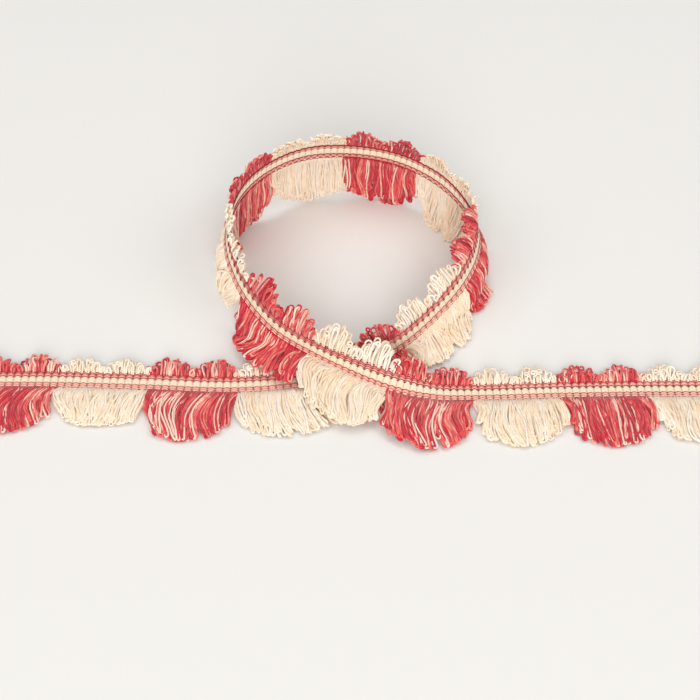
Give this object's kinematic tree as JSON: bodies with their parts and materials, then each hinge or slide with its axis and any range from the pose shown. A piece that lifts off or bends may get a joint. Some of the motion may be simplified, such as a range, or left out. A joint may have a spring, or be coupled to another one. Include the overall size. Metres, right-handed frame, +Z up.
{
  "type": "fan edge trim",
  "caption": "Length of looped fan edge trim lying straight, with one standing loop in the middle where the woven heading crosses over itself.",
  "frame": {"origin": "middle of the base, on the table", "axes": "+X along the length, +Y towards the back of the standing loop, +Z up from the table"},
  "size_m": [0.319, 0.155, 0.0441],
  "materials": {
    "woven_heading": "matte",
    "red_yarn": "matte",
    "cream_yarn": "matte"
  },
  "bodies": {
    "root": {"heading": "woven_heading", "fan_01": "red_yarn", "fan_02": "cream_yarn", "fan_03": "red_yarn", "fan_04": "cream_yarn", "fan_05": "red_yarn", "fan_06": "cream_yarn", "fan_07": "red_yarn", "fan_08": "cream_yarn", "fan_09": "red_yarn", "fan_10": "cream_yarn", "fan_11": "red_yarn", "fan_12": "cream_yarn", "fan_13": "red_yarn", "fan_14": "cream_yarn", "fan_15": "red_yarn", "fan_16": "cream_yarn", "fan_17": "red_yarn", "fan_18": "cream_yarn", "scallops_01": "red_yarn", "scallops_02": "cream_yarn", "scallops_03": "red_yarn", "scallops_04": "cream_yarn", "scallops_05": "red_yarn", "scallops_06": "cream_yarn", "scallops_07": "red_yarn", "scallops_08": "cream_yarn", "scallops_09": "red_yarn", "scallops_10": "cream_yarn", "scallops_11": "red_yarn", "scallops_12": "cream_yarn", "scallops_13": "red_yarn", "scallops_14": "cream_yarn", "scallops_15": "red_yarn", "scallops_16": "cream_yarn", "scallops_17": "red_yarn", "scallops_18": "cream_yarn"}
  },
  "joints": []
}
